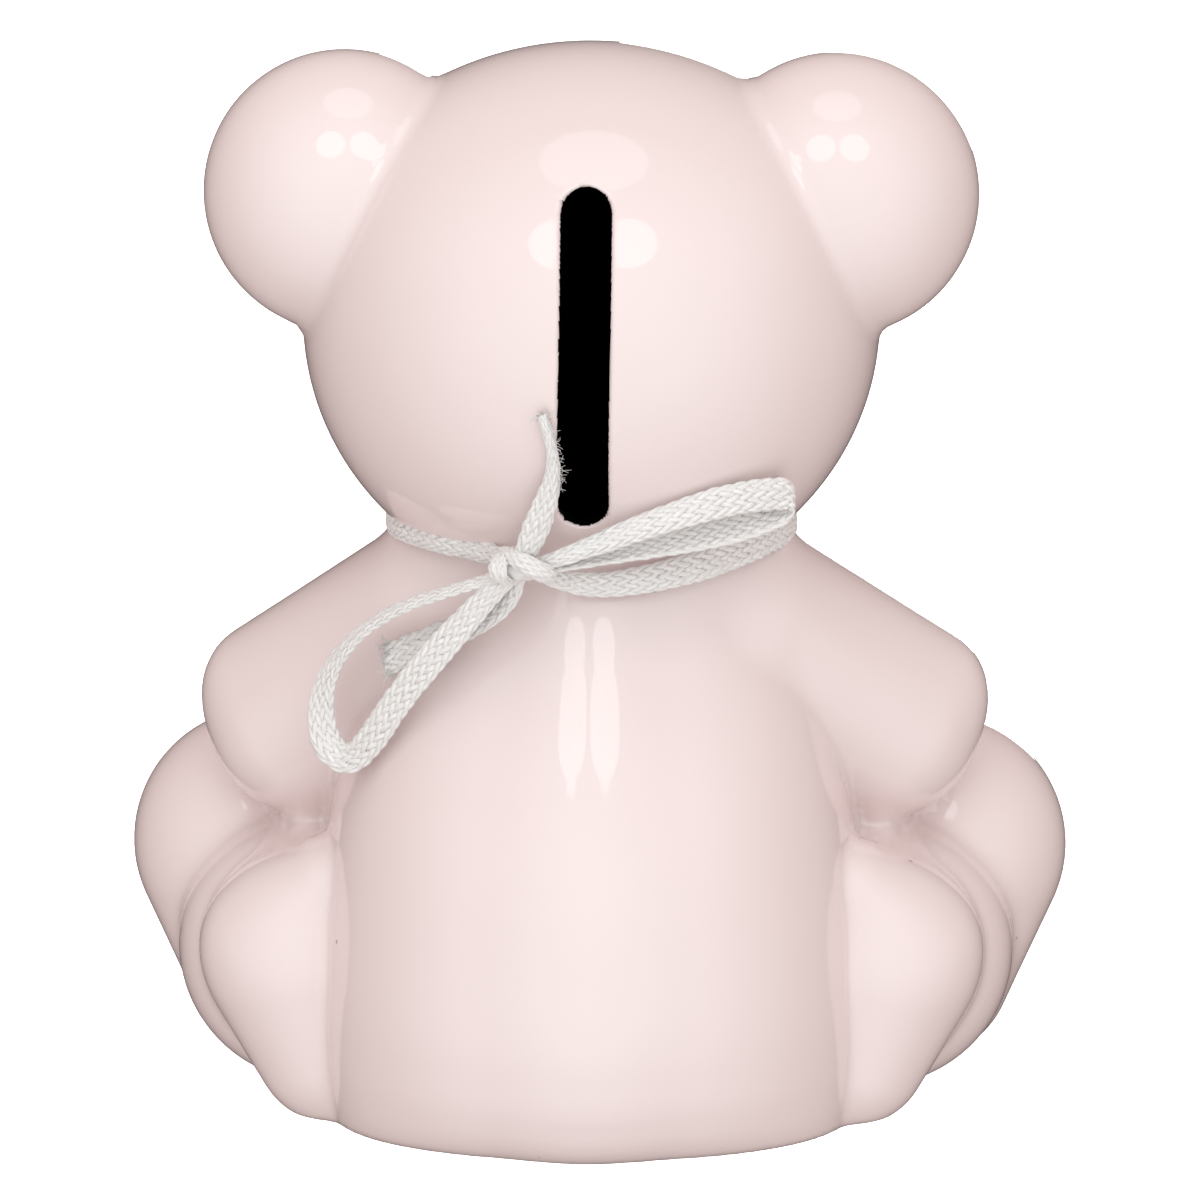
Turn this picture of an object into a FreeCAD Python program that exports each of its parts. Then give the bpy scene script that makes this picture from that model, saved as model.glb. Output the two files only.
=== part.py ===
"""A seated teddy-bear coin bank: one hollow glazed casting, the stopper that closes its base, and a
flat braided ribbon tied in a bow round its neck.

Millimetres, +Z up. The bear looks along -Y, so its back, with the coin slot, is on the +Y side, and
+X is the bear's left. Sizes and places below count from the centre of the base hole, on the surface
the bank stands on. The finished frame's origin is SETBACK in front of that, under the middle of the
whole bank.
"""
import FreeCAD, Part
import math
import os

V = FreeCAD.Vector

SETBACK = 4.4                           # from the frame's origin back to the centre of the base hole

# --- driving dimensions of the casting ---
WALL = 3.2                              # thickness of the cast wall
HEAD = (V(0, 0, 82), (28.8, 27.5, 27.7))            # centre and half-widths of the head
EAR = (V(24.6, 0.5, 94.8), (14.1, 12.5, 14.2))
MUZZLE = (V(0, -24.0, 75.0), (12.6, 10.6, 9.6))
NOSE = (V(0, -33.6, 78.4), (4.2, 2.6, 3.0))
EYE = (V(9.2, -24.0, 86.5), (2.3, 1.9, 2.7))

# each limb runs between two balls: centre and radius
SHOULDER, ELBOW = (V(14.6, 0.5, 54.3), 7.6), (V(32.5, -9.5, 42.2), 7.2)
UPPER_ARM, FOREARM = (V(12.0, 2.6, 51.0), 10.8), (V(28.9, -8.0, 39.6), 9.9)
PAW = (V(20, -28, 33.5), 8.0)
HIP, SEAT = (V(28.2, -0.9, 17.0), 10.9), (V(25.8, 0, 7.8), 8.1)
THIGH, SHIN = (V(27.9, -12, 15.7), 14.1), (V(30.3, -21, 13.0), 10.8)
FOOT, HEEL = (V(33.8, -23.4, 24.0), 13.3), (V(32.3, -22.5, 11.6), 9.4)

# height, half-width to the side, half-depth to the back, from the flat base up into the head
TORSO_ROWS = (
    (0.0, 25.9, 20.6),
    (2.0, 26.5, 23.4),
    (5.0, 27.1, 25.6),
    (10.0, 27.6, 27.4),
    (20.0, 27.6, 28.1),
    (30.0, 26.4, 27.1),
    (40.0, 24.6, 23.8),
    (50.0, 22.0, 19.4),
    (58.0, 20.0, 16.4),
    (66.0, 18.9, 15.5),
)
BELLY = 0.97                            # half-depth to the front, as a share of the half-width

# --- coin slot, cut straight through the back of the head ---
SLOT_WIDTH = 5.2
SLOT_BOTTOM = 65.0
SLOT_TOP = 99.0

# --- base hole and its stopper ---
HOLE_R = 14.0
RECESS_R, RECESS_DEEP = 17.2, 2.0       # seat for the stopper's flange
SLIDE_GAP = 0.05                        # radial clearance of the stopper in the hole
FLANGE_R, FLANGE_THICK = 16.8, 1.5
STOPPER_TALL = 9.0
STOPPER_WALL = 1.6
RIB_R, RIB_RISE = 0.45, 2.2             # sealing ribs round the barrel, and their spacing
GRIP = (15.0, 2.4, 4.6)                 # finger bar across the cup under the stopper
INSERTION_LEAD = 1.2                    # taper at the barrel's top edge

# --- ribbon ---
TAPE_WIDE, TAPE_THICK = 3.5, 0.9
TAPE_ROUND = 0.8                        # radius of the round stand-in for the loose tape
BAND_X, BAND_Y, BAND_Z = 21.2, 19.5, 58.8            # inside half-widths and lower edge of the band
KNOT = (V(6.1, 22.0, 60.7), (3.4, 2.5, 2.3))

# the bow, from the knot out and back: x, y, z of each corner of the tape's line
LOOP_RIGHT = (
    (4.6, 22.6, 61.6), (-0.2, 23.9, 63.3), (-6.7, 23.7, 65.9), (-13.2, 21.9, 67.8), (-18.0, 19.5, 68.2),
    (-20.5, 17.5, 67.6), (-20.2, 17.3, 65.4), (-16.6, 19.0, 64.2), (-12.0, 20.6, 63.4), (-7.0, 21.7, 62.7),
    (-1.5, 22.2, 61.3), (4.6, 21.8, 59.7),
)
LOOP_LEFT = (
    (7.4, 22.2, 60.0), (9.4, 21.6, 57.8), (11.8, 20.6, 55.2), (14.8, 19.1, 51.6), (18.6, 16.9, 46.6),
    (21.4, 14.6, 41.8), (23.7, 12.4, 39.0), (26.1, 10.8, 40.4), (26.9, 10.4, 44.4), (25.6, 11.2, 48.8),
    (22.2, 13.6, 53.0), (17.8, 16.4, 56.2), (13.2, 19.2, 58.6), (7.6, 21.6, 60.6),
)
TAIL_UPPER = (
    (6.1, 22.8, 61.6), (5.0, 24.6, 65.0), (3.8, 25.8, 68.0), (2.9, 26.7, 71.0), (2.9, 27.4, 73.4),
    (3.9, 28.1, 77.0),
)
TAIL_LOWER = (
    (6.2, 21.6, 59.9), (7.2, 20.0, 56.8), (9.8, 18.5, 54.6), (12.8, 17.0, 53.1), (16.2, 15.4, 51.3),
    (19.8, 13.4, 49.4),
)


def ellipsoid(middle, half, inset=0.0):
    """An ellipsoid with the given half-widths, less an inset all round."""
    matrix = FreeCAD.Matrix()
    matrix.scale(V(*(size - inset for size in half)))
    ball = Part.makeSphere(1.0).transformGeometry(matrix)
    ball.translate(middle)
    return ball


def mirrored(shape):
    """The same shape on the bear's other side."""
    return shape.mirror(V(0, 0, 0), V(1, 0, 0))


def limb(first, last, inset=0.0):
    """A round-ended limb that tapers from one ball to the other, less an inset all round."""
    start, start_r = first[0], first[1] - inset
    end, end_r = last[0], last[1] - inset
    along = end - start
    reach = along.Length
    tilt = math.asin((start_r - end_r) / reach)
    low = V(start_r * math.cos(tilt), 0, start_r * math.sin(tilt))
    high = V(end_r * math.cos(tilt), 0, reach + end_r * math.sin(tilt))
    low_turn = (tilt - math.pi / 2) / 2
    low_mid = V(start_r * math.cos(low_turn), 0, start_r * math.sin(low_turn))
    high_turn = (tilt + math.pi / 2) / 2
    high_mid = V(end_r * math.cos(high_turn), 0, reach + end_r * math.sin(high_turn))
    bottom, top = V(0, 0, -start_r), V(0, 0, reach + end_r)
    outline = Part.Wire([
        Part.Arc(bottom, low_mid, low).toShape(),
        Part.LineSegment(low, high).toShape(),
        Part.Arc(high, high_mid, top).toShape(),
        Part.LineSegment(top, bottom).toShape(),
    ])
    solid = Part.Face(outline).revolve(V(0, 0, 0), V(0, 0, 1), 360)
    solid.Placement = FreeCAD.Placement(start, FreeCAD.Rotation(V(0, 0, 1), along))
    return solid


def torso(inset):
    """A bell-shaped body lofted up through oval sections, deeper at the back low down."""
    top = TORSO_ROWS[-1][0]
    wires = []
    for height, side, back in TORSO_ROWS:
        z = inset + height * (top - inset) / top
        a, b = side - inset, back - inset
        front = side * BELLY - inset
        right, left = V(a, 0, z), V(-a, 0, z)
        wires.append(Part.Wire([half_oval(right, left, a, b, z), half_oval(left, right, a, -front, z)]))
    return Part.makeLoft(wires, True, False)


def half_oval(start, end, across, deep, z):
    """Half an oval from one side of the body to the other, bulging by deep along Y."""
    points = [start]
    steps = 12
    for step in range(1, steps):
        turn = math.pi * step / steps
        sense = 1 if start.x > 0 else -1
        points.append(V(sense * across * math.cos(turn), deep * math.sin(turn), z))
    points.append(end)
    curve = Part.BSplineCurve()
    way = V(0, 1 if deep > 0 else -1, 0)
    curve.interpolate(Points=points, InitialTangent=way, FinalTangent=-way)
    return curve.toShape()


def body_masses(inset):
    """The bear's hollow masses, each smaller by inset: the casting's outside, or its inside."""
    sides = [
        ellipsoid(*EAR, inset),
        limb(SHOULDER, ELBOW, inset),
        limb(UPPER_ARM, FOREARM, inset),
        limb(FOREARM, PAW, inset),
        limb(HIP, SEAT, inset),
        limb(THIGH, SHIN, inset),
        limb(FOOT, HEEL, inset),
    ]
    middle = [ellipsoid(*HEAD, inset), ellipsoid(*MUZZLE, inset), torso(inset)]
    return middle + sides + [mirrored(side) for side in sides]


def above(height):
    """Everything above a height, as one large block."""
    return Part.makeBox(200, 200, 200, V(-100, -100, height))


def coin_slot():
    """The cutter for the slot: straight-sided, round at both ends, through the back of the head."""
    radius = SLOT_WIDTH / 2
    low, high = SLOT_BOTTOM + radius, SLOT_TOP - radius
    blade = Part.makeBox(SLOT_WIDTH, 40, high - low, V(-radius, 5, low))
    for height in (low, high):
        blade = blade.fuse(Part.makeCylinder(radius, 40, V(0, 5, height), V(0, 1, 0)))
    return blade


def bear_shell():
    """The casting: outside masses less the inside ones, with the slot and the base hole."""
    masses = body_masses(0.0)
    face = [ellipsoid(*NOSE), ellipsoid(*EYE), mirrored(ellipsoid(*EYE))]
    outside = masses[0].multiFuse(masses[1:] + face).common(above(0.0))
    hollows = body_masses(WALL)
    inside = hollows[0].multiFuse(hollows[1:]).common(above(WALL))
    shell = outside.cut(inside).cut(coin_slot())
    shell = shell.cut(Part.makeCylinder(HOLE_R, 3 * WALL))
    return shell.cut(Part.makeCylinder(RECESS_R, RECESS_DEEP))


def base_stopper():
    """A soft plug: a flange in the recess, a ribbed hollow barrel in the hole and a finger bar."""
    flange_top = RECESS_DEEP
    flange_bottom = flange_top - FLANGE_THICK
    barrel_r = HOLE_R - SLIDE_GAP
    plug = Part.makeCylinder(FLANGE_R, FLANGE_THICK, V(0, 0, flange_bottom))
    straight = STOPPER_TALL - INSERTION_LEAD
    plug = plug.fuse(Part.makeCylinder(barrel_r, straight - flange_bottom, V(0, 0, flange_bottom)))
    lead = Part.makeCone(barrel_r, barrel_r - INSERTION_LEAD, INSERTION_LEAD, V(0, 0, straight))
    plug = plug.fuse(lead)
    cup_r = barrel_r - STOPPER_WALL - INSERTION_LEAD
    plug = plug.cut(Part.makeCylinder(cup_r, STOPPER_TALL - STOPPER_WALL - flange_bottom, V(0, 0, 0)))
    length, thick, tall = GRIP
    bar = Part.makeBox(2 * cup_r + STOPPER_WALL, thick, tall, V(-cup_r - STOPPER_WALL / 2, -thick / 2, 1.4))
    plug = plug.fuse(bar)
    for number in range(2):
        height = WALL + 1.6 + number * RIB_RISE
        groove = Part.makeTorus(barrel_r + RIB_R / 2, RIB_R, V(0, 0, height))
        plug = plug.cut(groove)
    return plug.removeSplitter()


def knot():
    """The knot, a firm little lump of tape."""
    return ellipsoid(*KNOT)


def neck_band():
    """The tape round the neck: an oval ring, tight in the crease under the head."""
    rings = []
    for grow in (TAPE_THICK, 0.0):
        oval = Part.Ellipse(V(0, 0, BAND_Z), BAND_X + grow, BAND_Y + grow).toShape()
        rings.append(Part.Face(Part.Wire([oval])).extrude(V(0, 0, TAPE_WIDE)))
    return rings[0].cut(rings[1]).cut(knot())


def corner_arc(before, corner, after):
    """The arc that rounds one corner of a route, as large as its two runs allow, and its radius."""
    back, on = before - corner, after - corner
    shorter = min(back.Length, on.Length)
    turn = math.pi - back.getAngle(on)
    radius = 0.45 * shorter / math.tan(turn / 2)
    back.normalize()
    on.normalize()
    start = corner + back * (0.45 * shorter)
    end = corner + on * (0.45 * shorter)
    inward = back + on
    inward.normalize()
    middle = corner + inward * (radius / math.cos(turn / 2) - radius)
    return start, middle, end, radius


def tape_tube(route, name):
    """A round stand-in for loose tape along a route of straight runs joined by tangent arcs."""
    corners = [V(*point) for point in route]
    edges = []
    radii = []
    last = corners[0]
    for before, corner, after in zip(corners, corners[1:], corners[2:]):
        start, middle, end, radius = corner_arc(before, corner, after)
        edges.append(Part.LineSegment(last, start).toShape())
        edges.append(Part.Arc(start, middle, end).toShape())
        radii.append(radius)
        last = end
    edges.append(Part.LineSegment(last, corners[-1]).toShape())
    path = Part.Wire(edges)
    section = Part.Circle(corners[0], corners[1] - corners[0], TAPE_ROUND).toShape()
    tube = path.makePipeShell([Part.Wire([section])], True, False)
    expected = math.pi * TAPE_ROUND ** 2 * path.Length
    print(name, "length %.1f" % path.Length, "volume / expected %.3f" % (tube.Volume / expected),
          "radii", " ".join("%.1f" % radius for radius in radii))
    return tube.cut(knot())


def main():
    os.makedirs("parts", exist_ok=True)
    nodes = {
        "bear_shell": bear_shell(),
        "base_stopper": base_stopper(),
        "neck_band": neck_band(),
        "bow_knot": knot(),
        "bow_loop_right": tape_tube(LOOP_RIGHT, "bow_loop_right"),
        "bow_loop_left": tape_tube(LOOP_LEFT, "bow_loop_left"),
        "tail_upper": tape_tube(TAIL_UPPER, "tail_upper"),
        "tail_lower": tape_tube(TAIL_LOWER, "tail_lower"),
    }
    for name, shape in nodes.items():
        shape.translate(V(0, SETBACK, 0))
        print(name, "valid", shape.isValid(), "solids", len(shape.Solids), "volume %.1f" % shape.Volume,
              shape.BoundBox)
        shape.exportStep("parts/%s.step" % name)


main()
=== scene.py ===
import math

import bmesh
import bpy
import numpy as np
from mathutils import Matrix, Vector

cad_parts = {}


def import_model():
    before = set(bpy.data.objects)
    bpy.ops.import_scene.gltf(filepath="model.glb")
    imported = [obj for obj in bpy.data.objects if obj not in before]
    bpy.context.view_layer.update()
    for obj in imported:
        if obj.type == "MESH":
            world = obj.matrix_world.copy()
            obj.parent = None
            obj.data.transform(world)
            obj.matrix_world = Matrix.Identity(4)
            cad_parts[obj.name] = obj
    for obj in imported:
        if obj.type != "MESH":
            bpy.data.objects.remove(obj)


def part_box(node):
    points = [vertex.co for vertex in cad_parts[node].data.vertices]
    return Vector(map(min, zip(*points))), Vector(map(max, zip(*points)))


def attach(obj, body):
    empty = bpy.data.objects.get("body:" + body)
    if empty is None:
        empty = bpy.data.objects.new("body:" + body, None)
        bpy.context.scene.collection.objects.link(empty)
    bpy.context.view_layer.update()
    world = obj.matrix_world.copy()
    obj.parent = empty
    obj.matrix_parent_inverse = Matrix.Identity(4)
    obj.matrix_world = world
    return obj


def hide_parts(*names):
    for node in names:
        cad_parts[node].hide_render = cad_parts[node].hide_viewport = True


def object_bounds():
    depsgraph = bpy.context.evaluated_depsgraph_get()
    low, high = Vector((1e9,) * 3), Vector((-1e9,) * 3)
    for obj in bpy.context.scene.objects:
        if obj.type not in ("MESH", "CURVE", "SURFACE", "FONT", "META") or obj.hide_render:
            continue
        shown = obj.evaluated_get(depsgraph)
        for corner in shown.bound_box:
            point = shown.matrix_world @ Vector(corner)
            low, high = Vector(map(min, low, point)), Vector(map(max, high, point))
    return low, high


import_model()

CAD_LOW, CAD_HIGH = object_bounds()
MM = 0.001
BANK = "bank"                   # the body that everything but the stopper rides on
HOLE_LOW, HOLE_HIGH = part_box("base_stopper")
SETBACK = (HOLE_LOW.y + HOLE_HIGH.y) / 2 / MM       # from the frame's origin back to the base hole

# ---------------------------------------------------------------- the glazed bear, in millimetres
# Sizes count from the centre of the base hole, as the casting's own do.
WALL = 3.2
HEAD = ((0, 0, 82), (28.8, 27.5, 27.7))                 # each ellipsoid: its middle and its half sizes
BROW_WIDENS, BROW_FROM, BROW_OVER = 0.07, 84, 22        # the head is wider towards its top, by this share
EAR = ((24.6, 0.5, 94.8), (14.1, 12.5, 14.2))
EAR_DISH = ((26.0, -15.5, 95.6), (8.6, 6.2, 8.8))
MUZZLE = ((0, -24.0, 75.0), (12.6, 10.6, 9.6))
NOSE = ((0, -33.6, 78.4), (4.2, 2.6, 3.0))
EYE = ((9.4, -25.0, 87.0), (2.5, 2.2, 3.0))
SHOULDER, ELBOW = ((14.6, 0.5, 54.6), 7.6), ((32.5, -9.5, 42.2), 6.9)     # each limb: its end balls
UPPER_ARM, FOREARM = ((14.2, 1.4, 51.2), 10.2), ((28.9, -8.0, 39.6), 9.8)
PAW = ((20, -28, 33.5), 8.0)
HIP, SEAT = ((28.2, -0.9, 17.0), 10.9), ((25.8, 0, 7.8), 8.1)
HIP_TOP, HIP_SIDE = ((25.8, 4.0, 25.0), 5.0), ((32.6, 1.0, 18.5), 5.6)      # the hip's tight upper edge
THIGH, SHIN = ((27.9, -12, 15.7), 14.1), ((30.3, -21, 13.0), 10.8)
FOOT, HEEL = ((33.8, -23.4, 24.0), 13.3), ((32.3, -22.5, 11.6), 9.4)
TORSO_TOP, TORSO_CORE, TORSO_STEEPEST = 66, 0.2, 1.2    # limits on where its distance is worked out
TORSO_Z = (-6, 0.0, 2.0, 5.0, 10.0, 20.0, 30.0, 40.0, 50.0, 58.0, 66.0, 75.0)
TORSO_SIDE = (23.0, 25.9, 26.5, 27.1, 27.6, 27.6, 26.4, 24.6, 22.0, 20.0, 18.9, 18.5)
TORSO_BACK = (12.0, 20.6, 23.4, 25.6, 27.3, 27.9, 26.9, 23.4, 18.7, 15.6, 15.2, 15.2)
RIDGE_FROM, RIDGE_R = 0.645, 0.35        # the ridge down the back, as shares of the depth there
BELLY = 0.97
SLOT_HALF_WIDE, SLOT_LOW, SLOT_HIGH, SLOT_FROM_Y = 2.5, 65.0, 99.0, 6
SLOT_OFF, SLOT_LEAN, SLOT_WAVER, WAVER_RATE = -0.18, 0.01, 0.07, 0.2    # how uneven the hand-cut slot is
HOLE_R, RECESS_R, RECESS_DEEP = 14.0, 17.2, 2.0

# The fillets where forms meet. Some widen from one height up, or towards the body.
EAR_FILLET, NECK_FILLET, BASE_FILLET, RIDGE_FILLET = 1.3, 1.5, 1.4, 4
ARM_FILLET, LEG_FILLET, HIP_FILLET, HIP_FILLET_MORE = 2, 1.5, 3, 5
LAP_FILLET, LAP_FILLET_MORE = 1.2, 2.5                  # where the arm lies on the leg
SIDE_FILLET, MUZZLE_FILLET, NOSE_FILLET, EYE_FILLET = 1.1, 3, 0.9, 0.7
DISH_FILLET, DISH_BACK_FILLET = 3, 1
SLOT_FILLET, HOLLOW_FILLET, HOLE_FILLET = 0.7, 0.6, 0.3
NEAR_BODY, NEAR_BODY_OVER = 35, 6
HIP_HIGH, HIP_HIGH_OVER = 20, 6
ARM_HIGH, ARM_HIGH_OVER = 45, 8

VOXEL = 1.0                     # the grid that the skin is first meshed on
FLATTEST, LONGEST_MOVE = 0.05, 0.8      # limits on how points settle onto the surface
RIM_REACH, RIM_DEEP, RIM_CUTS = 1.3, 1.5, 3             # the finer mesh round the slot's rim
SHADE_PAINT_DEEP, SHADE_PAINT_HIGH = 0.35, 2.6      # the glaze ends, and the inside's painted shade begins, that far in from the outside, above that height


def ellipsoid(p, middle, half):
    """Roughly the distance from points p to an ellipsoid, negative inside."""
    q = (p - middle) / half
    near = np.linalg.norm(q, axis=1)
    steep = np.linalg.norm(q / half, axis=1)
    return near * (near - 1) / np.maximum(steep, 1e-9)


def limb(p, start, start_r, end, end_r):
    """The distance to a round-ended limb that tapers from one ball to another."""
    axis = np.subtract(end, start).astype(float)
    reach = np.linalg.norm(axis)
    axis /= reach
    gap = p - start
    height = gap @ axis
    radius = np.linalg.norm(gap - height[:, None] * axis, axis=1)
    tilt = math.asin((start_r - end_r) / reach)
    share = np.clip((height - radius * math.tan(tilt)) / reach, 0, 1)
    return np.hypot(radius, height - share * reach) - (start_r + (end_r - start_r) * share)


def join(a, b, soft):
    """Two shapes run together, with a fillet about soft wide."""
    overlap = np.maximum(soft - np.abs(a - b), 0) / soft
    return np.minimum(a, b) - overlap * overlap * soft / 4


def cut(a, b, soft):
    """Shape a without shape b, with a rounded edge."""
    return -join(-a, b, soft)


def ease(t):
    """Zero below 0, one above 1, and a soft step in between."""
    t = np.clip(t, 0, 1)
    return t * t * (3 - 2 * t)


def mirrored(p):
    """The points with their left half folded onto the right, as the bear's forms are the same on both."""
    return np.column_stack([np.abs(p[:, 0]), p[:, 1:]])


def smooth_table(heights, values):
    """A cubic curve through a short list of values, sampled finely enough to look up."""
    heights, values = np.array(heights, float), np.array(values, float)
    z = np.linspace(heights[0], heights[-1], 600)
    slope = np.gradient(values, heights)
    i = np.clip(np.searchsorted(heights, z) - 1, 0, len(heights) - 2)
    span = heights[i + 1] - heights[i]
    t = (z - heights[i]) / span
    start = (2 * t**3 - 3 * t**2 + 1) * values[i] + (t**3 - 2 * t**2 + t) * span * slope[i]
    end = (3 * t**2 - 2 * t**3) * values[i + 1] + (t**3 - t**2) * span * slope[i + 1]
    return z, start + end


TORSO_FINE, SIDE_FINE = smooth_table(TORSO_Z, TORSO_SIDE)
BACK_FINE = smooth_table(TORSO_Z, TORSO_BACK)[1]
SLOPE_FINE = np.gradient(BACK_FINE, TORSO_FINE)


def torso(p):
    """The bell-shaped body, with a soft ridge down the middle of its back."""
    side = np.interp(p[:, 2], TORSO_FINE, SIDE_FINE)
    back = np.interp(p[:, 2], TORSO_FINE, BACK_FINE)
    slope = np.interp(p[:, 2], TORSO_FINE, SLOPE_FINE)
    slope = np.clip(slope, -TORSO_STEEPEST, TORSO_STEEPEST)
    deep = np.where(p[:, 1] > 0, back, side * BELLY)
    reach = np.hypot(p[:, 0] / side, p[:, 1] / deep)
    radius = np.hypot(p[:, 0], p[:, 1])
    bell = (reach - 1) * radius / np.maximum(reach, TORSO_CORE) / np.sqrt(1 + slope * slope)
    above = p[:, 2] - TORSO_TOP
    ridge = np.hypot(p[:, 0], p[:, 1] - RIDGE_FROM * back) - RIDGE_R * back
    return join(np.maximum(bell, above), np.maximum(ridge, above), RIDGE_FILLET)


def masses(p):
    """The bear's big forms, run together as they come out of the mould."""
    q, height = mirrored(p), p[:, 2]
    broad = 1 + BROW_WIDENS * ease((height - BROW_FROM) / BROW_OVER)
    head = ellipsoid(np.column_stack([q[:, 0] / broad, q[:, 1:]]), *HEAD)
    head = join(head, ellipsoid(q, *EAR), EAR_FILLET)
    arm = np.minimum(limb(q, *UPPER_ARM, *FOREARM), limb(q, *FOREARM, *PAW))
    arm = join(limb(q, *SHOULDER, *ELBOW), arm, ARM_FILLET)
    near_body = ease((NEAR_BODY - q[:, 0]) / NEAR_BODY_OVER)
    leg = join(limb(q, *THIGH, *SHIN), limb(q, *FOOT, *HEEL), LEG_FILLET)
    hip = join(limb(q, *HIP, *SEAT), limb(q, *HIP_TOP, *HIP_SIDE), HIP_FILLET)
    high_on_hip = ease((height - HIP_HIGH) / HIP_HIGH_OVER)
    leg = join(leg, hip, LEG_FILLET + HIP_FILLET_MORE * near_body * high_on_hip)
    arm_and_leg = join(arm, leg, LAP_FILLET + LAP_FILLET_MORE * near_body)
    body = join(torso(q), arm_and_leg, SIDE_FILLET + ease((height - ARM_HIGH) / ARM_HIGH_OVER))
    return cut(join(head, body, NECK_FILLET), height, BASE_FILLET)


def outside(p):
    """The glazed outside: the big forms and the moulded face."""
    q = mirrored(p)
    body = cut(masses(p), ellipsoid(q, *EAR_DISH), DISH_FILLET)
    for form, fillet in ((MUZZLE, MUZZLE_FILLET), (NOSE, NOSE_FILLET), (EYE, EYE_FILLET)):
        body = join(body, ellipsoid(q, *form), fillet)
    return body


def slot_cutter(p):
    """A blade with round ends, straight through the back of the head, a little uneven as cut by hand."""
    middle = (SLOT_LOW + SLOT_HIGH) / 2
    lean = SLOT_OFF - SLOT_LEAN * (p[:, 2] - middle) + SLOT_WAVER * np.sin(p[:, 2] * WAVER_RATE)
    straight = (SLOT_HIGH - SLOT_LOW) / 2 - SLOT_HALF_WIDE
    rise = np.maximum(np.abs(p[:, 2] - middle) - straight, 0)
    blade = np.hypot(p[:, 0] - lean, rise) - SLOT_HALF_WIDE
    return np.maximum(blade, SLOT_FROM_Y - p[:, 1])


def hole_cutter(p):
    """The hole in the base and the seat round it."""
    radius = np.hypot(p[:, 0], p[:, 1])
    hole = np.maximum(radius - HOLE_R, p[:, 2] - 3 * WALL)
    seat = np.maximum(radius - RECESS_R, p[:, 2] - RECESS_DEEP)
    return np.minimum(hole, seat)


def casting(p):
    """The whole hollow casting: the outside, less the hollow, the slot and the base hole."""
    body = cut(outside(p), slot_cutter(p), SLOT_FILLET)
    behind_dish = ellipsoid(mirrored(p), *EAR_DISH) - WALL
    hollow = cut(masses(p) + WALL, behind_dish, DISH_BACK_FILLET)
    return cut(cut(body, hollow, HOLLOW_FILLET), hole_cutter(p), HOLE_FILLET)


def gradient(shape, p, step=0.03):
    """The direction in which shape rises, at points p."""
    columns = []
    for axis in range(3):
        shift = np.zeros(3)
        shift[axis] = step
        columns.append((shape(p + shift) - shape(p - shift)) / (2 * step))
    return np.column_stack(columns)


def settle(p, shape, rounds):
    """Moves points onto a shape's surface, each along the way the shape rises."""
    for _ in range(rounds):
        rise = gradient(shape, p)
        steep = np.maximum((rise * rise).sum(1), FLATTEST)
        move = rise * (shape(p) / steep)[:, None]
        length = np.linalg.norm(move, axis=1, keepdims=True)
        p = p - move * np.minimum(1, LONGEST_MOVE / np.maximum(length, 1e-9))
    return p


def raw_points(mesh):
    """A mesh's points as they are."""
    flat = np.empty(len(mesh.vertices) * 3)
    mesh.vertices.foreach_get("co", flat)
    return flat.reshape(-1, 3)


def local(points):
    """Points of the frame, in the casting's own millimetres."""
    return np.array(points) / MM - (0, SETBACK, 0)


def in_frame(p):
    """Points in the casting's own millimetres, in the frame."""
    return (np.array(p) + (0, SETBACK, 0)) * MM


def put(mesh, p):
    """Writes points in the casting's millimetres back to a mesh."""
    mesh.vertices.foreach_set("co", in_frame(p).ravel())
    mesh.update()


def new_object(name, mesh):
    piece = bpy.data.objects.new(name, mesh)
    bpy.context.scene.collection.objects.link(piece)
    return piece


def sampled(shape, axes):
    """The values of shape on a grid, worked out one slab at a time."""
    slabs = []
    for x in axes[0]:
        slab = np.stack(np.meshgrid([x], axes[1], axes[2], indexing="ij"), axis=-1)
        slabs.append(shape(slab.reshape(-1, 3)).reshape(1, len(axes[1]), len(axes[2])))
    return np.concatenate(slabs)


def surface_net(name, shape, low, high, step):
    """A mesh where shape is zero: a point in each grid cell that it crosses, joined in squares."""
    axes = [np.arange(a, b + step, step) for a, b in zip(low, high)]
    inside = sampled(shape, axes) < 0
    spans = [(slice(0, -1), slice(1, None))] * 3
    count = sum(inside[x, y, z].astype(int) for x in spans[0] for y in spans[1] for z in spans[2])
    crossed = (count > 0) & (count < 8)
    number = np.full(crossed.shape, -1)
    number[crossed] = np.arange(crossed.sum())
    points = np.array(low) + step * (np.argwhere(crossed) + 0.5)
    faces = []
    for axis in range(3):
        here = np.take(inside, range(0, inside.shape[axis] - 1), axis)
        there = np.take(inside, range(1, inside.shape[axis]), axis)
        across, up = np.eye(3, dtype=int)[(axis + 1) % 3], np.eye(3, dtype=int)[(axis + 2) % 3]
        for solid_first, order in ((True, (0, 1, 2, 3)), (False, (3, 2, 1, 0))):
            edges = np.argwhere((here != there) & (here == solid_first))
            ring = [edges, edges - across, edges - across - up, edges - up]
            faces.append(np.column_stack([number[tuple(ring[i].T)] for i in order]))
    mesh = bpy.data.meshes.new(name)
    mesh.from_pydata(points.tolist(), [], np.concatenate(faces).tolist())
    return mesh


def relax(mesh, p, share):
    """Evens out the squares by moving each point part of the way to its neighbours' middle."""
    flat = np.empty(len(mesh.edges) * 2, np.int64)
    mesh.edges.foreach_get("vertices", flat)
    pairs = flat.reshape(-1, 2)
    total = np.zeros_like(p)
    count = np.zeros(len(p))
    for a, b in ((0, 1), (1, 0)):
        np.add.at(total, pairs[:, a], p[pairs[:, b]])
        np.add.at(count, pairs[:, a], 1)
    return p + share * (total / np.maximum(count, 1)[:, None] - p)


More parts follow.
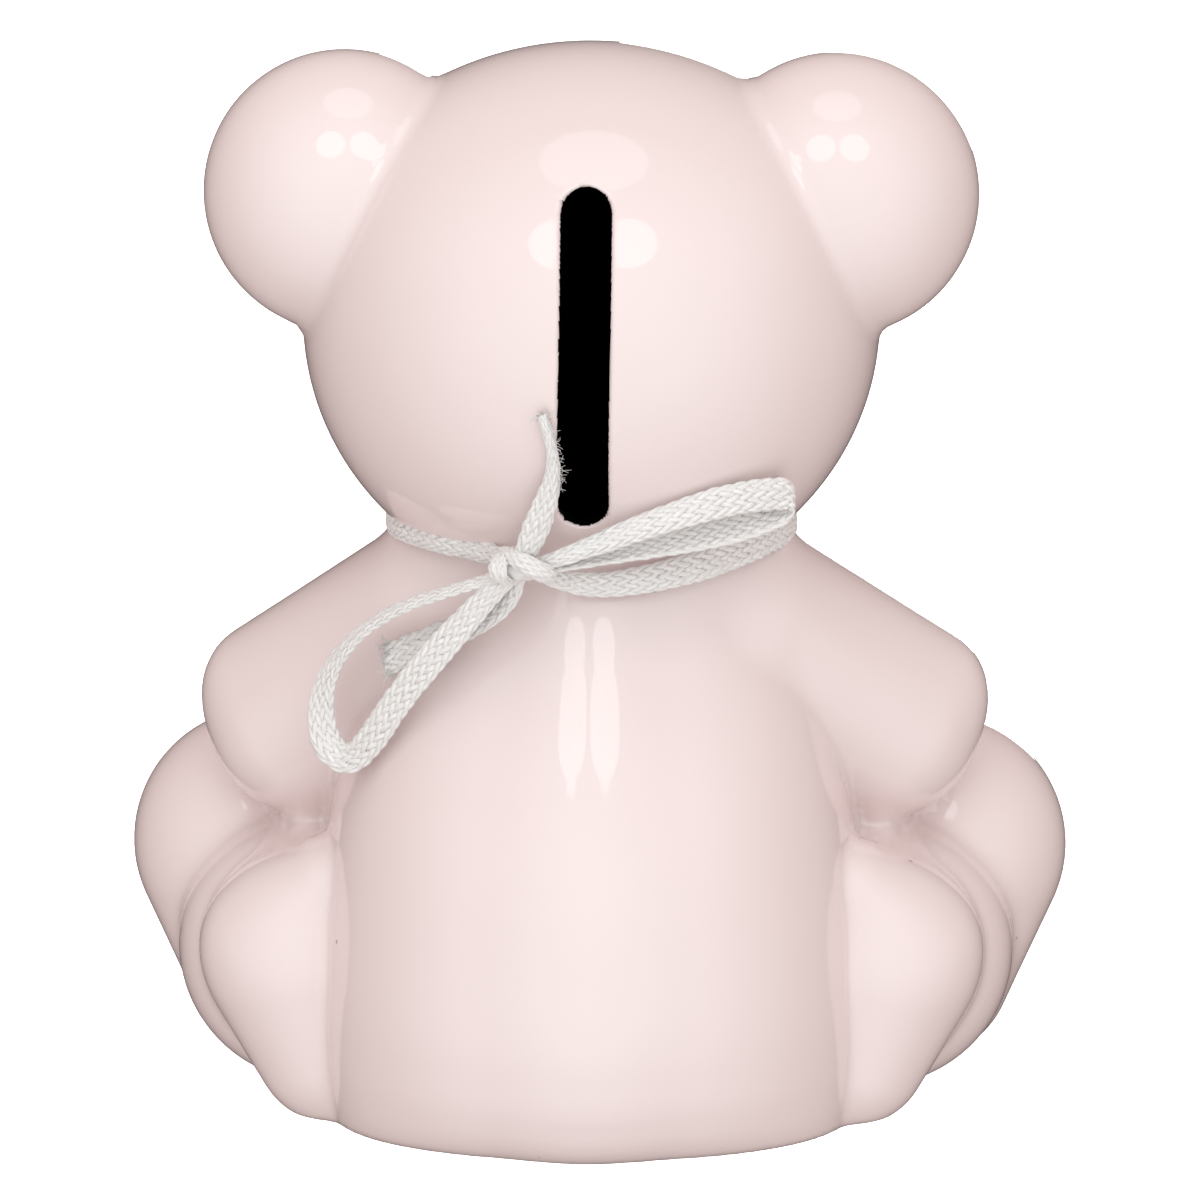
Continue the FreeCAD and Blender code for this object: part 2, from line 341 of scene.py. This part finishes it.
def refine(piece, wanted, cuts):
    """Splits the faces whose middle is wanted into finer ones."""
    work = bmesh.new()
    work.from_mesh(piece.data)
    chosen = wanted(local([face.calc_center_median() for face in work.faces]))
    faces = [face for face, is_chosen in zip(work.faces, chosen) if is_chosen]
    edges = list({edge for face in faces for edge in face.edges})
    bmesh.ops.subdivide_edges(work, edges=edges, cuts=cuts, use_grid_fill=True)
    work.to_mesh(piece.data)
    work.free()


def near_rim(p):
    """Within a couple of millimetres of the slot's rim, on the outside."""
    return (np.abs(slot_cutter(p)) < RIM_REACH) & (np.abs(outside(p)) < RIM_DEEP)


def bear():
    """The glazed casting as one smooth skin, with the unglazed clay inside it painted near-black as shade.
    """
    low, high = local(CAD_LOW) - 2 * VOXEL, local(CAD_HIGH) + 2 * VOXEL
    piece = new_object("glazed_bear", surface_net("glazed_bear", casting, low, high, VOXEL))
    p = raw_points(piece.data)
    for _ in range(3):
        p = relax(piece.data, settle(p, casting, 3), 0.5)
    put(piece.data, settle(p, casting, 5))
    refine(piece, near_rim, RIM_CUTS)
    p = settle(local(raw_points(piece.data)), casting, 6)
    put(piece.data, p)
    rise = gradient(casting, p)
    rise /= np.linalg.norm(rise, axis=1, keepdims=True)
    piece.data.polygons.foreach_set("use_smooth", np.ones(len(piece.data.polygons), bool))
    piece.data.normals_split_custom_set_from_vertices([tuple(n) for n in rise])
    piece.data.materials.append(glaze())
    # The second material paints the inside near-black, as shade.
    piece.data.materials.append(painted_shade_inside())
    middles = local([face.center for face in piece.data.polygons])
    # Faces in from the glaze, slot walls too, get the near-black painted shade of the hollow.
    painted_shade_faces = (outside(middles) < -SHADE_PAINT_DEEP) & (middles[:, 2] > SHADE_PAINT_HIGH)
    piece.data.polygons.foreach_set("material_index", painted_shade_faces.astype(np.int32))
    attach(piece, BANK)
    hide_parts("bear_shell")


# ---------------------------------------------------------------- the ribbon, in the same millimetres
# Each station of the tape's line: x, y, z, the way its face looks there, and its width.
TAPE_WIDE = 3.3
TAIL_UPPER = (
    (4.0, 27.7, 77.3, 0.1, 0.95, 0.15, 0.9), (3.4, 27.5, 75.6, 0.1, 0.95, 0.1, 1.0),
    (2.9, 27.0, 73.2, 0.3, 0.95, 0.0, 1.1), (2.9, 26.4, 70.8, 0.2, 0.95, -0.1, 1.5),
    (3.6, 25.6, 68.0, -0.1, 0.95, -0.2, 2.5), (4.6, 24.8, 65.2, -0.1, 0.93, -0.3, 2.9),
    (5.6, 23.8, 62.8, -0.1, 0.9, -0.3, 2.4),
)
LOOP_RIGHT = (
    (3.9, 23.2, 61.5, -0.1, 0.85, 0.4, 1.4), (-0.2, 24.2, 63.2, -0.1, 0.9, 0.4, 2.0),
    (-6.7, 24.0, 65.7, -0.15, 0.92, 0.3, 2.7), (-13.4, 22.2, 67.6, -0.3, 0.92, 0.2, 3.3),
    (-18.2, 19.8, 68.0, -0.5, 0.85, 0.1, 3.3), (-20.8, 17.9, 67.6, -1.0, 0.2, 0.0, 3.3),
    (-20.0, 17.2, 65.9, -0.5, -0.8, -0.3, 3.3), (-16.6, 18.9, 64.8, 0.1, -0.85, -0.5, 3.3),
    (-12.0, 20.6, 63.8, 0.1, -0.85, -0.5, 3.1), (-7.0, 21.9, 63.0, 0.1, -0.85, -0.5, 2.6),
    (-1.5, 22.7, 62.0, 0.1, -0.8, -0.6, 1.9), (3.2, 22.6, 61.0, 0.1, -0.8, -0.6, 1.4),
)
LOOP_LEFT = (
    (8.0, 22.3, 59.4, 0.2, 0.95, 0.1, 1.9), (9.7, 21.7, 57.7, 0.25, 0.92, 0.25, 2.4),
    (11.8, 20.7, 55.2, 0.3, 0.9, 0.3, 3.0), (14.8, 19.3, 51.6, 0.3, 0.9, 0.3, 3.4),
    (18.6, 17.0, 46.6, 0.3, 0.9, 0.3, 3.3), (21.4, 14.7, 41.8, 0.2, 0.9, 0.35, 3.3),
    (23.8, 12.4, 39.0, 0.1, 0.85, 0.4, 3.2), (26.2, 10.8, 40.4, 0.2, 0.9, 0.3, 3.2),
    (26.9, 10.4, 44.4, 0.55, 0.8, 0.2, 3.2), (25.6, 11.2, 48.8, 0.8, 0.45, 0.35, 3.2),
    (22.2, 13.6, 53.0, 0.8, 0.1, 0.6, 3.2), (17.8, 16.4, 56.0, 0.5, 0.1, 0.85, 3.2),
    (13.2, 19.0, 57.9, 0.2, 0.2, 0.95, 2.6), (9.4, 20.8, 59.4, 0.1, 0.3, 0.95, 1.8),
)
TAIL_LOWER = (
    (6.6, 21.4, 59.6, 0.2, 0.8, 0.5, 1.6), (7.4, 20.4, 57.4, 0.2, 0.8, 0.5, 2.4),
    (9.8, 18.9, 55.2, 0.2, 0.8, 0.5, 3.0), (12.8, 17.1, 53.5, 0.2, 0.85, 0.5, 3.4),
    (16.2, 15.2, 51.7, 0.2, 0.85, 0.5, 3.5), (20.0, 13.0, 49.6, 0.3, 0.85, 0.45, 3.7),
)
KNOT_MIDDLE, KNOT_HALF = (6.1, 22.2, 60.8), (2.5, 1.6, 1.2)
IN_KNOT = (*KNOT_MIDDLE, 0.1, 0.9, 0.3, 1.3)
KNOT_WRAPS = (
    ((8.0, 20.8, 62.3, 0.1, 0.3, 0.9, 1.4), (7.4, 23.4, 62.5, 0.1, 0.8, 0.6, 1.7),
     (5.6, 25.2, 61.8, 0.0, 1.0, 0.2, 1.9), (3.5, 24.6, 60.5, -0.3, 0.9, -0.1, 1.9),
     (2.8, 22.4, 59.9, -0.8, 0.5, -0.3, 1.6), (4.4, 20.6, 59.6, -0.2, -0.3, -0.9, 1.3)),
    ((7.0, 20.8, 62.2, 0.0, 0.2, 1.0, 1.6), (8.0, 22.6, 62.3, 0.4, 0.5, 0.8, 2.0),
     (8.7, 24.2, 61.1, 0.5, 0.9, 0.1, 2.2), (8.2, 23.2, 59.5, 0.4, 0.6, -0.7, 2.1),
     (6.8, 20.8, 59.3, 0.1, 0.0, -1.0, 1.6)),
)
BAND_SIDE, BAND_BACK, BAND_FRONT = 20.3, 18.7, 19.5
# The band's height at some turns, in degrees round from the back by the bear's right.
BAND_TURNS = (0, 18, 40, 60, 90, 180, 270, 300, 312, 330)
BAND_HEIGHTS = (58.2, 58.8, 60.2, 61.3, 61.7, 61.5, 61.9, 62.2, 61.8, 61.4)
BAND_STATIONS, BAND_TUCK = 22, 0.9      # it narrows by that much into the knot

YARNS, BRAID_PITCH = 12, 17.0           # yarns in the braid, and how far one goes to come back
YARN_WIDE, YARN_THICK, WEAVE_DEEP = 0.62, 0.38, 0.2
YARN_SIDES, YARN_STEP = 6, 0.22
EDGE_TURN = 0.97                        # how sharply a yarn turns back at the tape's edge
CURL, CURL_SQUEEZED = 0.12, 0.55        # how far the tape bows over its width, flat and squeezed narrow
JITTER, JITTER_LIFT = 0.07, 0.6         # a yarn's unevenness sideways, and its share of that in height
FRAY_UPPER, FRAY_LOWER = 26, 150        # loose fibres at the two cut ends
FUZZ_FROM, FUZZ_TO, FUZZ = 0.5, 8.0, 60     # stray fibres along the upper tail's edge
FRAY_LONG, FUZZ_LONG = (0.9, 1.9), (0.5, 1.6)
FRAY_INSIDE = 0.7                       # a loose fibre's root lies that far inside the cut end
HAIR_STEPS, HAIR_THICK, HAIR_THIN = 9, 0.035, 0.02
HAIR_BEND, HAIR_SWERVE, HAIR_WANDER = 0.55, 0.28, 0.16
LOOK_BLUR, JITTER_BLUR = 7, 4           # averaged over that many steps to each side
YARN_SWITCH = 4                         # how quickly a yarn's slant changes over at the edge
YARN_SQUEEZED = 0.45                    # a yarn's width where the tape is squeezed to nothing, as a share
KNOT_ROUND, KNOT_RISE, KNOT_LUMPS = 32, 18, 0.06


def band_route():
    """The tape's line round the neck, from the knot's right to its left."""
    stations = []
    for number in range(BAND_STATIONS):
        degrees = BAND_TURNS[-1] * number / (BAND_STATIONS - 1)
        turn = math.radians(degrees)
        deep = BAND_BACK if math.cos(turn) > 0 else BAND_FRONT
        height = float(np.interp(degrees, BAND_TURNS, BAND_HEIGHTS))
        width = TAPE_WIDE
        for from_knot in (number, BAND_STATIONS - 1 - number):
            width -= BAND_TUCK * max(0, 1 - from_knot / 2)
        stations.append((-BAND_SIDE * math.sin(turn), deep * math.cos(turn), height,
                         -math.sin(turn), math.cos(turn), 0.1, width))
    return tuple(stations)


def ribbon_route():
    """The whole ribbon from end to end: tail, loop, round the neck, loop, tail."""
    return (*TAIL_UPPER, IN_KNOT, *LOOP_RIGHT, IN_KNOT, *band_route(), IN_KNOT, *LOOP_LEFT, IN_KNOT,
            *TAIL_LOWER)


def spline_line(stations):
    """Points along the NURBS spline whose control points are the stations."""
    curve = bpy.data.curves.new("tape_line", "CURVE")
    curve.dimensions = "3D"
    spline = curve.splines.new("NURBS")
    spline.points.add(len(stations) - 1)
    for point, station in zip(spline.points, stations):
        point.co = (*station[:3], 1)
    spline.order_u = 3
    spline.use_endpoint_u = True
    spline.resolution_u = 16
    holder = new_object("tape_line", curve)
    bpy.context.view_layer.update()
    line = bpy.data.meshes.new_from_object(holder)
    points = np.array([vertex.co for vertex in line.vertices])
    bpy.data.objects.remove(holder)
    return points


class Tape:
    """A tape's line in even steps, with its direction, the way its face looks and its width."""

    def __init__(self, stations):
        rough = spline_line(stations)
        last = len(stations) - 1
        places = np.linspace(0.5, last - 0.5, len(rough))       # which station each rough point lies by
        places[0], places[-1] = 0, last
        run = np.concatenate([[0], np.cumsum(np.linalg.norm(np.diff(rough, axis=0), axis=1))])
        self.length = run[-1]
        self.s = np.linspace(0, run[-1], int(run[-1] / YARN_STEP) + 1)
        self.middle = np.column_stack([np.interp(self.s, run, rough[:, i]) for i in range(3)])
        self.way = unit(np.gradient(self.middle, axis=0))
        place = np.interp(self.s, run, places)
        table = np.array(stations, float)
        looks = np.column_stack([np.interp(place, range(len(stations)), table[:, 3 + i]) for i in range(3)])
        looks = blurred(looks, LOOK_BLUR)
        looks -= self.way * (looks * self.way).sum(1, keepdims=True)
        self.face = unit(looks)
        self.across = np.cross(self.way, self.face)
        self.wide = np.interp(place, range(len(stations)), table[:, 6])


def unit(vectors):
    return vectors / np.maximum(np.linalg.norm(vectors, axis=1, keepdims=True), 1e-9)


def blurred(values, reach):
    """Each row averaged with its neighbours."""
    padded = np.pad(values, ((reach, reach), (0, 0)), mode="edge")
    window = np.ones(2 * reach + 1) / (2 * reach + 1)
    return np.column_stack([np.convolve(padded[:, i], window, "valid") for i in range(values.shape[1])])


def tube(middle, side, lift, half_side, half_lift, sides):
    """Rings of points round a line, and the squares between them."""
    turns = np.arange(sides) * 2 * math.pi / sides
    rings = [middle + side * (half_side * math.cos(a)) + lift * (half_lift * math.sin(a)) for a in turns]
    points = np.stack(rings, axis=1).reshape(-1, 3)
    first = np.arange(len(middle) - 1)[:, None] * sides
    here, after = np.arange(sides)[None], (np.arange(sides)[None] + 1) % sides
    faces = np.stack([first + here, first + after, first + sides + after, first + sides + here], axis=2)
    return points, faces.reshape(-1, 4)


def yarn(tape, number, seed):
    """One yarn of the flat braid: from edge to edge and back, over two yarns and under two."""
    rng = np.random.default_rng(seed * 100 + number)
    phase = tape.s / BRAID_PITCH + number / YARNS
    sway = np.cos(2 * math.pi * phase)
    lateral = np.arcsin(EDGE_TURN * sway) / math.asin(EDGE_TURN)
    heading = np.tanh(-YARN_SWITCH * np.sin(2 * math.pi * phase))
    lift = WEAVE_DEEP * heading * np.cos(math.pi * YARNS * phase + heading * math.pi / 4)
    narrow = tape.wide / TAPE_WIDE
    curl = CURL_SQUEEZED * (1 - narrow) + CURL
    bow = curl * (0.5 - lateral**2) * tape.wide / 2
    jitter = blurred(rng.normal(0, 1, (len(tape.s), 2)), JITTER_BLUR) * JITTER
    reach = (tape.wide - YARN_WIDE * narrow) / 2
    middle = tape.middle + tape.across * (lateral * reach + jitter[:, 0])[:, None]
    middle = middle + tape.face * (lift + bow + jitter[:, 1] * JITTER_LIFT)[:, None]
    way = unit(np.gradient(middle, axis=0))
    side = unit(np.cross(way, tape.face))
    half = (YARN_WIDE / 2 * (YARN_SQUEEZED + (1 - YARN_SQUEEZED) * narrow))[:, None]
    points, faces = tube(middle, side, tape.face, half, YARN_THICK / 2, YARN_SIDES)
    along = np.repeat(tape.s, YARN_SIDES)
    around = np.tile(np.arange(YARN_SIDES) / YARN_SIDES, len(tape.s))
    marks = np.column_stack([around, along, np.full(len(along), number + seed * 0.37)])
    return points, faces, marks


def hair(root, way, length, rng):
    """One loose fibre, curling away from its root."""
    bend = rng.normal(0, HAIR_BEND, 3)
    middle = [np.array(root, float)]
    heading = np.array(way, float)
    for _ in range(HAIR_STEPS):
        heading = heading + bend * HAIR_SWERVE + rng.normal(0, HAIR_WANDER, 3)
        heading /= np.linalg.norm(heading)
        middle.append(middle[-1] + heading * length / HAIR_STEPS)
    middle = np.array(middle)
    ways = unit(np.gradient(middle, axis=0))
    side = unit(np.cross(ways, (0.31, 0.2, 0.93)))
    thick = np.linspace(HAIR_THICK, HAIR_THIN, len(middle))[:, None]
    points, faces = tube(middle, side, np.cross(ways, side), thick, thick, 3)
    return points, faces, np.zeros_like(points)


def frayed(tape, at_start, count, rng):
    """Loose fibres from a cut end of the tape."""
    end, way = (0, -1) if at_start else (-1, 1)
    hairs = []
    for _ in range(count):
        root = tape.middle[end] + tape.across[end] * rng.uniform(-0.5, 0.5) * tape.wide[end]
        root = root - way * tape.way[end] * FRAY_INSIDE + tape.face[end] * rng.uniform(-0.2, 0.3)
        heading = way * tape.way[end] + rng.normal(0, 0.35, 3)
        hairs.append(hair(root, heading, rng.uniform(*FRAY_LONG), rng))
    return hairs


def edge_fuzz(tape, start, stop, count, rng):
    """Stray fibres along one edge of the tape, between two lengths along it."""
    hairs = []
    for _ in range(count):
        i = int(np.searchsorted(tape.s, rng.uniform(start, stop)))
        outward = tape.across[i] * (-1 if tape.across[i][0] > 0 else 1)
        root = tape.middle[i] + outward * tape.wide[i] * 0.42
        heading = outward * 0.6 + rng.normal(0, 0.5, 3)
        hairs.append(hair(root, heading, rng.uniform(*FUZZ_LONG), rng))
    return hairs


def thread_mesh(name, parts):
    """One mesh of many tubes. Each point keeps its place round and along its yarn."""
    points, faces, marks, base = [], [], [], 0
    for some_points, some_faces, some_marks in parts:
        points.append(some_points)
        faces.append(some_faces + base)
        marks.append(some_marks)
        base += len(some_points)
    mesh = bpy.data.meshes.new(name)
    mesh.from_pydata(in_frame(np.concatenate(points)).tolist(), [], np.concatenate(faces).tolist())
    thread = mesh.attributes.new("thread", "FLOAT_VECTOR", "POINT")
    thread.data.foreach_set("vector", np.concatenate(marks).astype(np.float32).ravel())
    mesh.polygons.foreach_set("use_smooth", np.ones(len(mesh.polygons), bool))
    mesh.materials.append(bpy.data.materials.get("white_yarn") or white_yarn())
    return new_object(name, mesh)


def knot_core():
    """The tape packed inside the knot, as a lumpy ball that shows between the wraps."""
    around, up = np.meshgrid(np.linspace(0, 2 * math.pi, KNOT_ROUND + 1)[:-1],
                             np.linspace(0.03, math.pi - 0.03, KNOT_RISE))
    ball = np.column_stack([(np.cos(around) * np.sin(up)).ravel(), (np.sin(around) * np.sin(up)).ravel(),
                            np.cos(up).ravel()])
    lumps = 1 + KNOT_LUMPS * np.sin(5 * around + 3 * up).ravel()[:, None]
    points = np.array(KNOT_MIDDLE) + ball * KNOT_HALF * lumps
    rows, columns = around.shape
    first = np.arange(rows - 1)[:, None] * columns
    here, after = np.arange(columns)[None], (np.arange(columns)[None] + 1) % columns
    faces = np.stack([first + here, first + columns + here, first + columns + after, first + after], axis=2)
    return points, faces.reshape(-1, 4), np.column_stack([around.ravel(), up.ravel() * 5, up.ravel()])


def knot():
    """The knot: a packed core with two wraps of tape over it."""
    parts = [knot_core()]
    for seed, stations in enumerate(KNOT_WRAPS, 5):
        tape = Tape(stations)
        parts += [yarn(tape, number, seed) for number in range(YARNS)]
    piece = thread_mesh("ribbon_knot", parts)
    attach(piece, BANK)
    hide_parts("bow_knot")
    return piece


def ribbon():
    """The flat braided ribbon, tied in a bow, with its frayed ends."""
    tape = Tape(ribbon_route())
    rng = np.random.default_rng(7)
    parts = [yarn(tape, number, 1) for number in range(YARNS)]
    parts += frayed(tape, True, FRAY_UPPER, rng) + frayed(tape, False, FRAY_LOWER, rng)
    parts += edge_fuzz(tape, FUZZ_FROM, FUZZ_TO, FUZZ, rng)
    piece = thread_mesh("bow_ribbon", parts)
    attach(piece, BANK)
    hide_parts("neck_band", "bow_loop_right", "bow_loop_left", "tail_upper", "tail_lower")
    knot()


# ---------------------------------------------------------------- materials
class Shader:
    """A new material with its Principled shader, and ways to add and join nodes."""

    def __init__(self, name):
        self.material = bpy.data.materials.new(name)
        self.material.use_nodes = True
        self.nodes = self.material.node_tree.nodes
        self.link = self.material.node_tree.links.new
        self.base = self.nodes["Principled BSDF"]

    def add(self, kind, **sockets):
        """A new node. Each keyword is one of its inputs, or else one of its settings."""
        node = self.nodes.new(kind)
        for key, value in sockets.items():
            if key in node.inputs:
                node.inputs[key].default_value = value
            else:
                setattr(node, key, value)
        return node

    def pattern(self, kind, place, output="Fac", **sockets):
        """A texture laid over the places that a socket gives."""
        node = self.add(kind, **sockets)
        self.link(place, node.inputs["Vector"])
        return node.outputs[output]

    def shades(self, level, stops):
        """A level turned into colours."""
        node = self.add("ShaderNodeValToRGB")
        ramp(node, stops)
        self.link(level, node.inputs["Fac"])
        return node.outputs["Color"]

    def relief(self, height, strength, distance):
        """A bump from a height."""
        node = self.add("ShaderNodeBump", Strength=strength, Distance=distance)
        self.link(height, node.inputs["Height"])
        self.link(node.outputs["Normal"], self.base.inputs["Normal"])

    def made(self, colour=None, **sockets):
        """Joins up the colour, sets the shader's own sockets and gives the material."""
        if colour:
            self.link(colour, self.base.inputs["Base Color"])
        for key, value in sockets.items():
            self.base.inputs[key.replace("_", " ")].default_value = value
        return self.material


def ramp(node, stops):
    """Fills a colour ramp with (place, colour) stops."""
    elements = node.color_ramp.elements
    while len(elements) > 1:
        elements.remove(elements[-1])
    for number, (place, colour) in enumerate(stops):
        stop = elements[0] if number == 0 else elements.new(place)
        stop.position = place
        stop.color = (*colour, 1)


def glaze():
    """Clear glossy glaze over a pale pink body: a little waviness, pinholes and uneven colour."""
    paint = Shader("pink_glaze")
    where = paint.add("ShaderNodeTexCoord").outputs["Object"]
    cloudy = paint.pattern("ShaderNodeTexNoise", where, Scale=26, Detail=3)
    tint = paint.shades(cloudy, [(0.3, (0.79, 0.67, 0.66)), (0.7, (0.81, 0.695, 0.685))])
    specks = paint.pattern("ShaderNodeTexVoronoi", where, "Distance", Scale=85)
    pinhole = paint.shades(specks, [(0.0, (0, 0, 0)), (0.018, (0, 0, 0)), (0.03, (1, 1, 1))])
    spotted = paint.add("ShaderNodeMix", data_type="RGBA")
    spotted.inputs["A"].default_value = (0.45, 0.33, 0.3, 1)
    paint.link(pinhole, spotted.inputs["Factor"])
    paint.link(tint, spotted.inputs["B"])
    paint.relief(paint.pattern("ShaderNodeTexNoise", where, Scale=120, Detail=1), 0.05, 0.0004)
    return paint.made(spotted.outputs["Result"], Roughness=0.045, IOR=1.52)


def painted_shade_inside():
    """The unglazed clay inside, painted near-black as the shade that fills the hollow where no light
    reaches.
    """
    paint = Shader("inside_painted_shade")
    where = paint.add("ShaderNodeTexCoord").outputs["Object"]
    grit = paint.pattern("ShaderNodeTexNoise", where, Scale=900, Detail=4)
    # This near-black tint is painted shade, not the clay's own colour.
    tint = paint.shades(grit, [(0.3, (0.0015, 0.0013, 0.0012)), (0.8, (0.005, 0.0045, 0.004))])
    return paint.made(tint, Roughness=1.0, Specular_IOR_Level=0.0)


def white_yarn():
    """Soft white polyester yarn, with fine lengthwise fibres."""
    paint = Shader("white_yarn")
    thread = paint.add("ShaderNodeAttribute", attribute_name="thread").outputs["Vector"]
    stretch = paint.add("ShaderNodeVectorMath", operation="MULTIPLY")
    stretch.inputs[1].default_value = (9, 0.9, 5)
    paint.link(thread, stretch.inputs[0])
    fibres = paint.pattern("ShaderNodeTexNoise", stretch.outputs["Vector"], Scale=1.0, Detail=2)
    tint = paint.shades(fibres, [(0.3, (0.71, 0.69, 0.675)), (0.65, (0.84, 0.825, 0.815))])
    paint.relief(fibres, 0.35, 0.00008)
    return paint.made(tint, Roughness=0.5, Specular_IOR_Level=0.35, Sheen_Weight=0.3, Sheen_Roughness=0.4)


def soft_plastic():
    """Milky flexible plastic with a fine moulded grain and turned rings, for the stopper."""
    paint = Shader("soft_plastic")
    where = paint.add("ShaderNodeTexCoord").outputs["Object"]
    cloudy = paint.pattern("ShaderNodeTexNoise", where, Scale=60, Detail=3)
    tint = paint.shades(cloudy, [(0.3, (0.66, 0.65, 0.62)), (0.7, (0.74, 0.73, 0.70))])
    rings = paint.pattern("ShaderNodeTexWave", where, wave_type="RINGS", rings_direction="Z",
                          Scale=260, Distortion=0.4)
    grain = paint.pattern("ShaderNodeTexNoise", where, Scale=1500, Detail=2)
    both = paint.add("ShaderNodeMix", data_type="FLOAT", Factor=0.6)
    paint.link(rings, both.inputs["A"])
    paint.link(grain, both.inputs["B"])
    paint.relief(both.outputs["Result"], 0.12, 0.0002)
    return paint.made(tint, Roughness=0.42, Subsurface_Weight=0.25, Subsurface_Scale=0.002)


def stopper():
    """The CAD stopper is kept as it is, with its own material."""
    plastic = soft_plastic()
    for slot in bpy.data.objects["base_stopper"].material_slots:
        slot.material = plastic


# ---------------------------------------------------------------- camera, lights, floor and world
VIEW_AZIMUTH, VIEW_RISE, VIEW_FAR = math.radians(182), math.radians(11), 2.7
TARGET = Vector((-0.85, SETBACK, 53.3)) * MM
FRAME_WIDE, SENSOR = 0.12, 36
LIGHTS_FAR, LIGHTS_COLOUR = 1.0, (0.92, 1.0, 1.0)
# Each softbox: its azimuth from the camera's side, its rise and its width, all in degrees, its watts,
# and whether only the gloss sees it. Small ones are mirrored in the glaze, wide ones light it softly.
SOFTBOXES = {
    "left_key": (-15.5, 41, 20.5, 0.7, True),
    "right_key": (15.5, 41, 20.5, 0.7, True),
    "overhead_key": (0, 78, 30, 0.75, True),
    "front_key": (171, 3, 16, 0.9, True),
    "soft_light": (0, 32, 75, 2.3, False),
    "ceiling": (0, 80, 60, 2.6, False),
    "front_fill": (178, -5, 50, 2.5, False),
}


def towards(azimuth, rise):
    """The way from the target out to something at an azimuth and a height angle."""
    return Vector((math.sin(azimuth) * math.cos(rise), -math.cos(azimuth) * math.cos(rise), math.sin(rise)))


def aimed(piece, azimuth, rise, far):
    """Puts a camera or light out there, looking at the target."""
    piece.location = TARGET + towards(azimuth, rise) * far
    piece.rotation_euler = (TARGET - piece.location).to_track_quat("-Z", "Y").to_euler()
    return piece


def camera():
    lens = bpy.data.cameras.new("camera")
    lens.sensor_width = SENSOR
    lens.lens = SENSOR * VIEW_FAR / FRAME_WIDE
    lens.clip_start = 0.01
    piece = aimed(bpy.data.objects.new("camera", lens), VIEW_AZIMUTH, VIEW_RISE, VIEW_FAR)
    bpy.context.scene.collection.objects.link(piece)
    bpy.context.scene.camera = piece


def lights():
    """A round softbox for each row, with its size as it looks from the object."""
    for name, (azimuth, rise, wide, power, in_gloss) in SOFTBOXES.items():
        lamp = bpy.data.lights.new(name, "AREA")
        lamp.shape = "DISK"
        lamp.size = 2 * LIGHTS_FAR * math.tan(math.radians(wide) / 2)
        lamp.energy = power
        lamp.color = LIGHTS_COLOUR
        piece = bpy.data.objects.new(name, lamp)
        piece.visible_glossy = in_gloss
        piece.visible_diffuse = not in_gloss
        aimed(piece, VIEW_AZIMUTH + math.radians(azimuth), math.radians(rise), LIGHTS_FAR)
        bpy.context.scene.collection.objects.link(piece)


FLOOR_DROP = 0.045              # the floor is that far down, clear of the stopper when it's out
FLOOR_HALF = 3.0


def floor():
    """A pale floor as bright as the studio behind it, so that neither shows an edge."""
    paint = Shader("white_floor")
    mesh = bpy.data.meshes.new("floor")
    square = ((-1, -1), (1, -1), (1, 1), (-1, 1))
    corners = [(x * FLOOR_HALF, y * FLOOR_HALF, -FLOOR_DROP) for x, y in square]
    mesh.from_pydata(corners, [], [(0, 1, 2, 3)])
    mesh.materials.append(paint.made(Base_Color=(0.9, 0.9, 0.9, 1), Roughness=1.0,
                                     Emission_Color=(1, 1, 1, 1), Emission_Strength=1.0))
    piece = new_object("floor", mesh)
    piece.visible_diffuse = False
    piece.visible_glossy = False


WORLD_RISE = math.radians(2)    # the height angle that the world's camera side faces
# Light levels by direction, from the side away from the camera (0) round to the camera's side (1).
SOFT_LIGHT = ((0.0, (0.60, 0.49, 0.47)), (0.4, (0.62, 0.49, 0.47)), (0.65, (0.90, 0.78, 0.76)),
              (1.0, (1.13, 1.20, 1.19)))
SURROUNDINGS = ((0.0, (0.03, 0.03, 0.03)), (0.45, (0.06, 0.06, 0.06)), (0.7, (0.7, 0.69, 0.685)),
                (0.9, (1.5, 1.48, 1.47)), (1.0, (1.7, 1.68, 1.67)))


def world():
    """A white studio: soft light on the object, dimmer surroundings in its gloss, and white behind it."""
    room = bpy.data.worlds.new("studio")
    room.use_nodes = True
    nodes, link = room.node_tree.nodes, room.node_tree.links.new
    where = nodes.new("ShaderNodeTexCoord")
    facing = nodes.new("ShaderNodeVectorMath")
    facing.operation = "DOT_PRODUCT"
    facing.inputs[1].default_value = towards(VIEW_AZIMUTH, WORLD_RISE)
    spread = nodes.new("ShaderNodeMapRange")
    spread.inputs["From Min"].default_value = -1
    link(where.outputs["Generated"], facing.inputs[0])
    link(facing.outputs["Value"], spread.inputs["Value"])
    path = nodes.new("ShaderNodeLightPath")

    def levels(stops):
        """The light levels at these stops, by direction."""
        shade = nodes.new("ShaderNodeValToRGB")
        ramp(shade, stops)
        link(spread.outputs["Result"], shade.inputs["Fac"])
        return shade.outputs["Color"]

    def seen_by(ray, others):
        """A choice that gives its colour B to one kind of ray, and another colour to the others."""
        choice = nodes.new("ShaderNodeMix")
        choice.data_type = "RGBA"
        link(path.outputs[ray], choice.inputs["Factor"])
        link(others, choice.inputs["A"])
        return choice

    in_gloss = seen_by("Is Glossy Ray", levels(SOFT_LIGHT))
    link(levels(SURROUNDINGS), in_gloss.inputs["B"])
    behind = seen_by("Is Camera Ray", in_gloss.outputs["Result"])
    behind.inputs["B"].default_value = (1, 1, 1, 1)
    link(behind.outputs["Result"], nodes["Background"].inputs["Color"])
    bpy.context.scene.world = room
    bpy.context.scene.view_settings.view_transform = "Standard"


camera()
ribbon()
bear()
stopper()
lights()
floor()
world()
